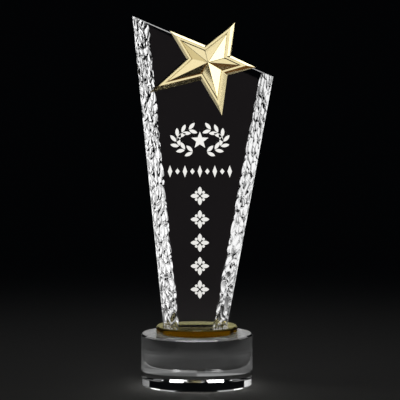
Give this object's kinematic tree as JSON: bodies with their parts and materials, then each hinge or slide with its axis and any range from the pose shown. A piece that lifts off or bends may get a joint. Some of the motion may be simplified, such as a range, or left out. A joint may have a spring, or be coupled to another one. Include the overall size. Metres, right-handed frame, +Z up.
{
  "type": "star trophy",
  "caption": "Star trophy: clear crystal blade with chiselled sides and a faceted gold star, standing on an amber disc and a round crystal base.",
  "frame": {"origin": "centre of the flat underside of the round base", "axes": "+Z up the blade, the front with the star and the engraving faces -Y, +X to the viewer's right"},
  "size_m": [0.101, 0.08, 0.2639],
  "materials": {
    "clear_crystal": "optical crystal, polished, with hand-chiselled sides",
    "amber_crystal": "amber-tinted crystal, polished",
    "gold_plate": "polished gold plate on a zinc alloy casting",
    "white_paint": "matt white paint that fills the engraving",
    "adhesive": "clear UV-cured adhesive"
  },
  "bodies": {
    "root": {"base_block": "clear_crystal", "disc_bond": "adhesive", "amber_disc": "amber_crystal", "blade_bond": "adhesive", "crystal_blade": "clear_crystal", "star_bond": "adhesive", "star_casting": "gold_plate", "wreath_fill": "white_paint", "row_fill": "white_paint", "column_fill": "white_paint"}
  },
  "joints": []
}
